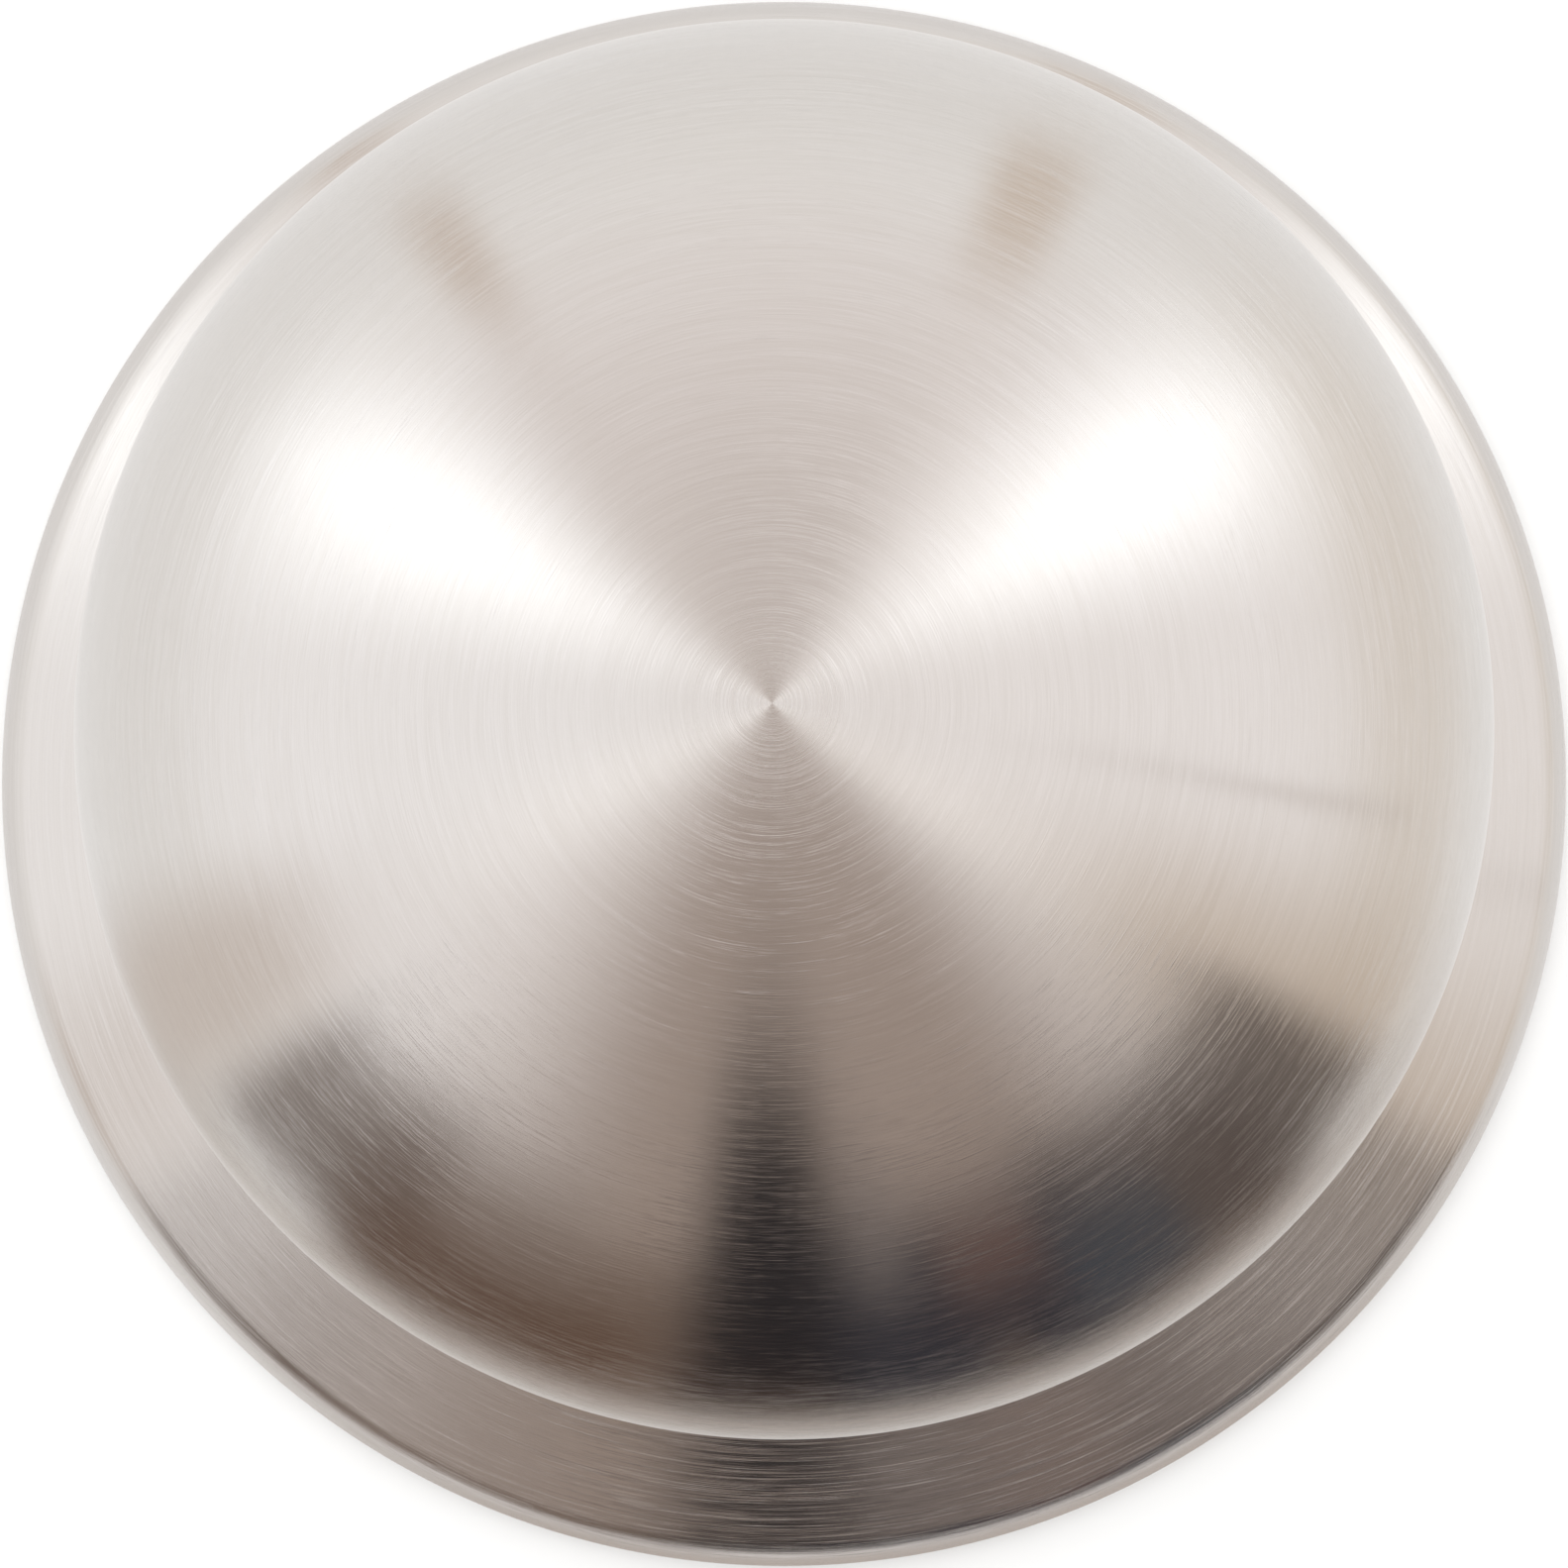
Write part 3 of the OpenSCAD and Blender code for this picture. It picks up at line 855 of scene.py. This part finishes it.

# %% [markdown]
# ## Rubber, plastic and concrete
#
# Rubber is black because of the soot in it, rough, and grey where dust settles. The plastic rings are
# moulded, with the fine even texture of a spark-eroded mould. The concrete fill was poured from the top:
# grey paste, lighter grains of sand in it and small holes left by air.
# The air holes are darkened with painted shade.

# %% Rubber, plastic and concrete materials
RUBBER = (0.022, 0.022, 0.024, 1.0)
RUBBER_BLOOM = (0.04, 0.04, 0.041, 1.0)
PLASTIC = (0.045, 0.045, 0.05, 1.0)
PLASTIC_PALE = (0.06, 0.06, 0.064, 1.0)
PASTE_DARK = (0.36, 0.35, 0.33, 1.0)
PASTE_PALE = (0.48, 0.47, 0.45, 1.0)
SAND = (0.56, 0.53, 0.47, 1.0)
# painted shade for the inside of the air holes, which are the same paste as the rest
PAINTED_HOLE_SHADE = (0.16, 0.155, 0.15, 1.0)


def black_rubber():
    """Matt rubber with a pale bloom in patches and a fine moulded grain."""
    material, tree, shader = new_material("matt_rubber", {"Specular IOR Level": 0.35})
    place = add(tree, "TexCoord").outputs["Object"]
    clouds = clouds_on(tree, place, scale=70.0)
    dirt = dirt_on(tree, place, reach=20 * MM, amount=0.5)
    colour = blend(tree, clouds, RUBBER, RUBBER_BLOOM)
    fill(tree, shader, {
        "Base Color": blend(tree, dirt, colour, DIRT),
        "Roughness": ranged(tree, clouds, 0.0, 1.0, to_low=0.6, to_high=0.78),
        "Normal": bump(tree, noise(tree, place, scale=2500.0, detail=3.0), 0.05 * MM),
    })
    return material


def moulded_plastic():
    """Black polyamide with a spark-eroded grain."""
    material, tree, shader = new_material("moulded_plastic", {})
    place = add(tree, "TexCoord").outputs["Object"]
    clouds = clouds_on(tree, place, scale=40.0)
    grain = noise(tree, place, scale=3500.0, detail=2.0)
    fill(tree, shader, {
        "Base Color": blend(tree, clouds, PLASTIC, PLASTIC_PALE),
        "Roughness": ranged(tree, grain, 0.3, 0.7, to_low=0.4, to_high=0.55),
        "Normal": bump(tree, grain, 0.03 * MM),
    })
    return material


def concrete():
    """Grey paste with sand grains, and air holes darkened with painted shade."""
    material, tree, shader = new_material("cured_concrete", {"Roughness": 0.9})
    place = add(tree, "TexCoord").outputs["Object"]
    clouds = clouds_on(tree, place, scale=25.0)
    paste = blend(tree, clouds, PASTE_DARK, PASTE_PALE)
    sand = add(tree, "TexVoronoi", {"Vector": place, "Scale": 420.0}).outputs["Distance"]
    holes = add(tree, "TexVoronoi", {"Vector": place, "Scale": 130.0}).outputs["Distance"]
    pit = ranged(tree, holes, 0.08, 0.14)
    colour = blend(tree, ranged(tree, sand, 0.25, 0.1), paste, SAND)
    height = maths(tree, "MULTIPLY_ADD", sand, -0.3, pit)
    fill(tree, shader, {
        # the air holes take the painted shade colour
        "Base Color": blend(tree, pit, PAINTED_HOLE_SHADE, colour),
        "Normal": bump(tree, height, 0.4 * MM),
    })
    return material


give(black_rubber(), seal_ring, "base_pad", "sleeve_gasket")
give(moulded_plastic(), "middle_centring_ring", "upper_centring_ring")
give(concrete(), "concrete_fill")

# %% [markdown]
# ## What the steel reflects
#
# Polished metal has almost no look of its own, so its surroundings are as much part of the finish as the
# brushing. Such a post is shown in a tent of white cloth with a lamp behind it on two sides, and the open
# side of the tent shows dark. The tent here is a turned shell that only reflections see. Its light is a
# function of direction from the cap's centre: a pale gradient from floor to roof, with soft patches over
# it for the lamps, the dark opening and the things that stand in it. Each patch has a middle, a half
# width, a bottom and a top in degrees, and edges that fade over a stated angle.

# %% Patch group
def build_soft_patch():
    """Mask of a patch in azimuth and elevation: 1 inside, fading smoothly over the stated angles."""
    inputs = {name: ("Float", 0.0) for name in
              ("Azimuth", "Elevation", "Middle", "Half Width", "Side Fade", "Bottom", "Bottom Fade",
               "Top", "Top Fade")}
    tree, given, out = new_group("soft_patch", inputs, {"Mask": "Float"})

    def inside(past, fade):
        """1 inside an edge, 0 past it; the fade is centred on the edge."""
        return ranged(tree, maths(tree, "DIVIDE", past, fade), 0.5, -0.5)

    away = maths(tree, "WRAP", maths(tree, "SUBTRACT", given["Azimuth"], given["Middle"]), 180.0, -180.0)
    past_side = maths(tree, "SUBTRACT", maths(tree, "ABSOLUTE", away), given["Half Width"])
    past_top = maths(tree, "SUBTRACT", given["Elevation"], given["Top"])
    past_bottom = maths(tree, "SUBTRACT", given["Bottom"], given["Elevation"])
    side = inside(past_side, given["Side Fade"])
    top = inside(past_top, given["Top Fade"])
    bottom = inside(past_bottom, given["Bottom Fade"])
    tree.links.new(maths(tree, "MULTIPLY", side, maths(tree, "MULTIPLY", top, bottom)), out["Mask"])
    return tree


soft_patch = build_soft_patch()

# %% Tent light
# elevation in degrees, then the light's colour there
TENT_GRADIENT = (
    (-80, (1.00, 0.99, 0.98)), (-30, (0.96, 0.94, 0.92)), (-10, (1.03, 1.01, 0.99)),
    (10, (1.00, 0.95, 0.93)), (45, (0.88, 0.81, 0.78)), (90, (0.79, 0.71, 0.67)),
)
# middle, half width and side fade; bottom and its fade; top and its fade; colour and strength.
# A later patch lies over the earlier ones.
PATCHES = {
    "glow_right": ((3, 40, 50), (-14, 24), (95, 50), (1.08, 1.04, 1.03), 1.0),
    "glow_left": ((183, 34, 50), (-14, 24), (95, 50), (1.12, 1.10, 1.10), 1.0),
    "warm_floor": ((0, 45, 40), (-45, 14), (-14, 14), (0.88, 0.80, 0.72), 0.8),
    "grey_streak": ((208, 8, 12), (-66, 20), (4, 24), (0.70, 0.61, 0.55), 0.8),
    "roof_beam": ((357, 0.6, 2), (-28, 10), (50, 20), (0.64, 0.57, 0.53), 0.9),
    "stand_right": ((70, 4, 5), (-31, 10), (4, 16), (0.76, 0.64, 0.54), 0.9),
    "stand_left": ((129, 3, 5), (-31, 10), (4, 16), (0.74, 0.63, 0.55), 0.9),
    "lamp_right": ((39, 9, 30), (-8, 50), (66, 60), (1.9, 1.93, 1.95), 1.0),
    "lamp_top": ((54, 8, 34), (30, 40), (100, 10), (1.40, 1.37, 1.36), 0.7),
    "lamp_left": ((155, 9, 30), (-8, 50), (66, 60), (1.85, 1.88, 1.9), 1.0),
    "streak_left": ((210, 8, 24), (50, 60), (100, 10), (1.6, 1.58, 1.55), 0.7),
    "streak_right": ((333, 8, 20), (60, 50), (100, 10), (1.5, 1.45, 1.4), 0.8),
    "roof_seam": ((92, 26, 30), (60, 50), (100, 10), (0.70, 0.63, 0.60), 1.0),
    "right_shade": ((335, 12, 24), (-48, 10), (34, 50), (0.64, 0.52, 0.41), 0.8),
    "dim_wall": ((280, 38, 36), (-60, 16), (100, 10), (0.43, 0.35, 0.305), 1.0),
    "near_floor": ((275, 68, 26), (-100, 10), (-56, 8), (0.66, 0.60, 0.55), 1.0),
    "dark_floor": ((279, 47, 10), (-54, 6), (-6, 12), (0.20, 0.145, 0.115), 1.0),
    "left_shade": ((240, 13, 10), (-40, 10), (4, 14), (0.26, 0.205, 0.175), 0.65),
    "left_block": ((227.5, 10.5, 7), (-44, 8), (0, 6), (0.16, 0.12, 0.10), 0.85),
    "right_block": ((319, 17, 6), (-46, 8), (7, 6), (0.10, 0.08, 0.073), 0.9),
    "brown_box": ((247, 15, 10), (-48, 8), (-25, 8), (0.125, 0.07, 0.045), 0.9),
    "dark_core": ((288, 19, 16), (-52, 6), (4, 24), (0.035, 0.035, 0.045), 1.0),
    "pale_gap": ((284, 3, 5), (-14, 10), (20, 24), (0.23, 0.20, 0.19), 0.7),
    "red_box": ((296, 5, 5), (-20, 8), (-2, 8), (0.17, 0.10, 0.085), 0.8),
    "brown_gap": ((295, 2, 3), (-48, 6), (-37, 6), (0.14, 0.10, 0.075), 0.8),
    "blue_box": ((308, 6, 4), (-42, 6), (-12, 6), (0.066, 0.075, 0.09), 0.95),
    "opening": ((273, 7, 8), (-52, 6), (38, 50), (0.022, 0.02, 0.022), 1.0),
    "brown_floor": ((272, 7, 6), (-52, 5), (-40, 8), (0.055, 0.03, 0.022), 0.8),
    "bright_floor": ((270, 180, 1), (-100, 10), (-70, 12), (0.95, 0.93, 0.92), 1.0),
    "near_rim": ((285, 45, 40), (-100, 10), (-79, 5), (0.60, 0.54, 0.50), 1.0),
}


def tent_material():
    """Emission that depends only on the direction from the cap's centre.

    Higher points are shifted sideways first, so that the roof's middle is seen at the spindle point.
    """
    material = bpy.data.materials.new("tent_light")
    material.use_nodes = True
    tree = material.node_tree
    tree.nodes.clear()
    place = add(tree, "TexCoord").outputs["Object"]
    seen = add(tree, "VectorMath", {0: place, 1: (0, 0, cap_foot)}, operation="SUBTRACT").outputs[0]
    height = maths(tree, "MAXIMUM", add(tree, "SeparateXYZ", {0: seen}).outputs[2], 0.0)
    lean = tuple(-2 * SPINDLE_OFFSET / post_r) + (0,)
    shift = add(tree, "VectorMath", {0: lean, "Scale": height}, operation="SCALE").outputs[0]
    upright = add(tree, "VectorMath", {0: seen, 1: shift}, operation="ADD").outputs[0]
    x, y, z = add(tree, "SeparateXYZ", {0: upright}).outputs
    flat = add(tree, "CombineXYZ", {0: x, 1: y}).outputs[0]
    reach = add(tree, "VectorMath", {0: flat}, operation="LENGTH").outputs["Value"]
    azimuth = maths(tree, "DEGREES", maths(tree, "ARCTAN2", y, x))
    elevation = maths(tree, "DEGREES", maths(tree, "ARCTAN2", z, reach))
    ramp = add(tree, "ValToRGB", {0: ranged(tree, elevation, -90, 90, shape="LINEAR")})
    stops = ramp.color_ramp.elements
    stops.remove(stops[1])
    for level, colour in TENT_GRADIENT:
        stops.new((level + 90) / 180).color = (*colour, 1.0)
    stops.remove(stops[0])
    light = ramp.outputs[0]
    for (middle, half, side), (bottom, bottom_fade), (top, top_fade), colour, strength in PATCHES.values():
        mask = use_group(tree, soft_patch, {
            "Azimuth": azimuth, "Elevation": elevation, "Middle": middle, "Half Width": half,
            "Side Fade": side, "Bottom": bottom, "Bottom Fade": bottom_fade,
            "Top": top, "Top Fade": top_fade,
        })["Mask"]
        light = blend(tree, maths(tree, "MULTIPLY", mask, strength), light, (*colour, 1.0))
    shine = add(tree, "Emission", {"Color": light})
    target = tree.nodes.new("ShaderNodeOutputMaterial")
    tree.links.new(shine.outputs[0], target.inputs["Surface"])
    return material


# %% Tent shell
TENT_R = 1.5
TENT_H = 2.5
TENT_CORNER = 0.4
TENT_FOOT = 0.05
TENT_FLOOR = 0.3 * MM
PLATE_GAP = 2 * MM
TENT_ARC = 12
TENT_AROUND = 96
tent_profile = np.concatenate([
    [(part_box("base_plate")[1].x + PLATE_GAP, TENT_FLOOR)],
    arc((TENT_R - TENT_FOOT, TENT_FLOOR + TENT_FOOT), TENT_FOOT, -90, 0, SMALL_ARC),
    arc((TENT_R - TENT_CORNER, TENT_H - TENT_CORNER), TENT_CORNER, 0, 90, TENT_ARC),
    [(0, TENT_H)],
])


def reflected_only(thing):
    """Lets only glossy rays see the object."""
    thing.visible_camera = False
    thing.visible_diffuse = False
    thing.visible_transmission = False
    thing.visible_volume_scatter = False
    thing.visible_shadow = False


def add_staged(mesh, material):
    """Links a mesh that isn't part of the object, with its material."""
    thing = bpy.data.objects.new(mesh.name, mesh)
    bpy.context.scene.collection.objects.link(thing)
    thing.data.materials.append(material)
    return thing


tent_light = tent_material()
tent_light.cycles.emission_sampling = "NONE"
tent = add_staged(grid_mesh("tent", lathe(tent_profile, TENT_AROUND)), tent_light)
reflected_only(tent)
print("tent radius %.2f m, %d patches" % (TENT_R, len(PATCHES)))

# %% [markdown]
# ## Floor, studio light and camera
#
# The floor is a very large pale sheet, lit by the pale sky all round and by one large soft lamp, so that
# the post stands in a faint shadow. The steel doesn't see them: it would show the floor's edge and the
# lamp's square as hard shapes. The camera hangs straight over the post and looks down at the foot of its
# axis, through a long lens, so the cap nearly hides the sleeve and stands in the middle of the cover.

# %% Floor
FLOOR_HALF = 60.0
FLOOR_POINTS = 9
FLOOR_PALE = (0.88, 0.88, 0.875, 1.0)
FLOOR_CLOUD = (0.86, 0.86, 0.855, 1.0)


def floor_material():
    """Pale matt sheet with a barely visible mottle."""
    material, tree, shader = new_material("pale_floor", {"Roughness": 0.9, "Specular IOR Level": 0.1})
    place = add(tree, "TexCoord").outputs["Object"]
    clouds = clouds_on(tree, place, scale=3.0)
    fill(tree, shader, {"Base Color": blend(tree, clouds, FLOOR_PALE, FLOOR_CLOUD)})
    return material


def floor_grid():
    """A flat square grid; its cells are coarse because it is flat."""
    across = np.linspace(-FLOOR_HALF, FLOOR_HALF, FLOOR_POINTS)
    x, y = np.meshgrid(across, across)
    return np.stack([x, y, 0 * x], axis=-1)


floor = add_staged(grid_mesh("floor", floor_grid()), floor_material())
floor.visible_glossy = False
print("floor %.0f m across" % (2 * FLOOR_HALF))

# %% Sky and soft lamp
SKY = (0.98, 0.98, 0.98, 1.0)
SKY_STRENGTH = 1.12
KEY_SIZE = 2.2
KEY_POWER = 45
KEY_PLACE = (-0.2, 0.25, 3.2)
KEY_AIM = Vector((0, 0, 0.3))

world = bpy.data.worlds.new("pale_sky")
world.use_nodes = True
fill(world.node_tree, world.node_tree.nodes["Background"], {"Color": SKY, "Strength": SKY_STRENGTH})
bpy.context.scene.world = world
world.cycles_visibility.glossy = False

key_data = bpy.data.lights.new("key", "AREA")
key_data.shape = "DISK"
key_data.size = KEY_SIZE
key_data.energy = KEY_POWER
key = bpy.data.objects.new("key", key_data)
key.location = KEY_PLACE
key.rotation_euler = (KEY_AIM - key.location).to_track_quat("-Z", "Y").to_euler()
key.visible_glossy = False
bpy.context.scene.collection.objects.link(key)
bpy.context.scene.view_settings.view_transform = "Standard"
print("soft lamp %.1f m across, %.1f m up" % (KEY_SIZE, key.location.z))

# %% Camera
SENSOR = 36.0
LENS = 241.8
NEAREST = 0.05
FARTHEST = 200.0
CAMERA_PLACE = (0.0007, -0.0088, 1.692)

camera_data = bpy.data.cameras.new("overhead")
camera_data.sensor_width = SENSOR
camera_data.lens = LENS
camera_data.clip_start = NEAREST
camera_data.clip_end = FARTHEST
camera = bpy.data.objects.new("overhead", camera_data)
camera.location = CAMERA_PLACE
camera.rotation_euler = (-camera.location).to_track_quat("-Z", "Y").to_euler()
bpy.context.scene.collection.objects.link(camera)
bpy.context.scene.camera = camera
print("camera %.3f m above the cap" % (camera.location.z - cap_top))
